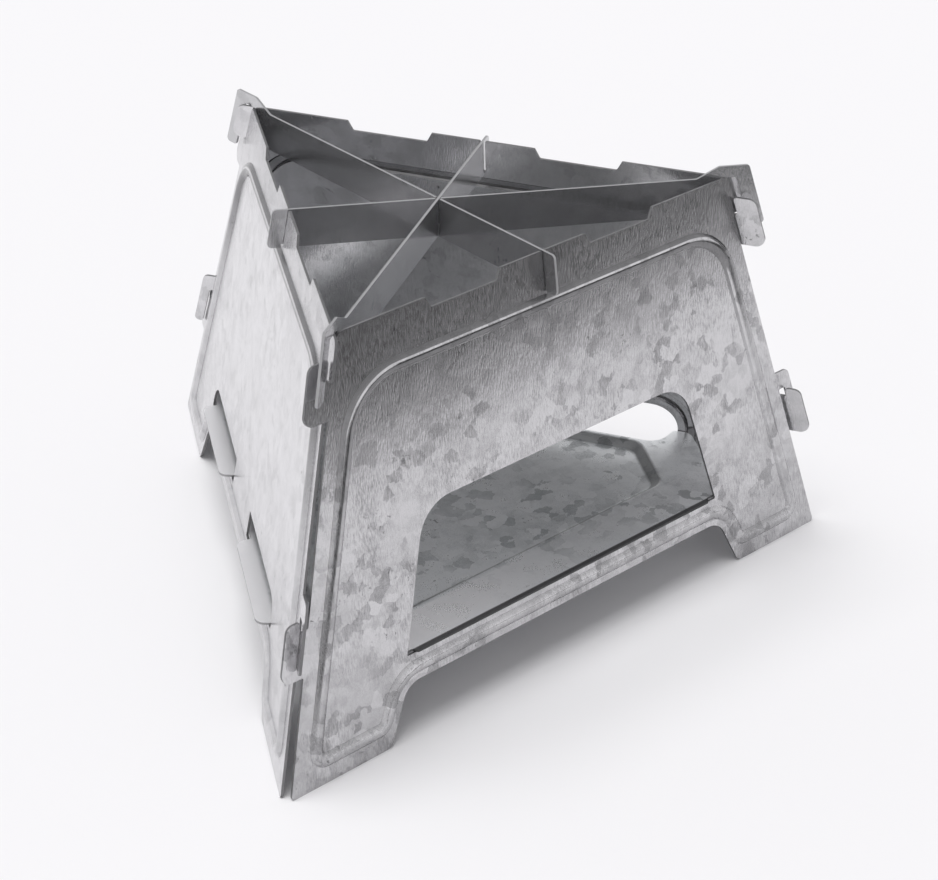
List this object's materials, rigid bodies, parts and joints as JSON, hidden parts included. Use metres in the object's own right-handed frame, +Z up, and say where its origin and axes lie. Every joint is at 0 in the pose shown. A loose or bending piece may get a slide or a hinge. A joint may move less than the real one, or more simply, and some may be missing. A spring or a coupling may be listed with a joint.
{
  "type": "portable fire pit",
  "caption": "Flat-pack triangular fire pit of hooked galvanised sheet walls leaning inwards, with a base plate, a fuel window and a lift-off grate of crossed blades.",
  "frame": {"origin": "on the floor, at the middle of the pit's plan box", "axes": "+Z up, front wall with the fuel window facing -Y, +X to the right seen from the front"},
  "size_m": [0.2946, 0.2554, 0.1718],
  "materials": {
    "wall_sheet": "galvanised sheet with soft grey spangle and fine rolling streaks",
    "base_sheet": "galvanised sheet, darker and clouded",
    "blade_sheet": "galvanised strip with bright cut edges"
  },
  "bodies": {
    "pit": {"front_wall": "wall_sheet", "left_wall": "wall_sheet", "back_wall": "wall_sheet", "base_plate": "base_sheet"},
    "low_blade": {"blade_low": "blade_sheet"},
    "middle_blade": {"blade_middle": "blade_sheet"},
    "top_blade": {"blade_top": "blade_sheet"}
  },
  "joints": [
    {"name": "low_blade_lift", "type": "slide", "parent": "pit", "child": "low_blade", "axis": [0, 0, 1], "range_m": [0, 0.04]},
    {"name": "middle_blade_lift", "type": "slide", "parent": "low_blade", "child": "middle_blade", "axis": [0, 0, 1], "range_m": [0, 0.04]},
    {"name": "top_blade_lift", "type": "slide", "parent": "middle_blade", "child": "top_blade", "axis": [0, 0, 1], "range_m": [0, 0.04]}
  ]
}
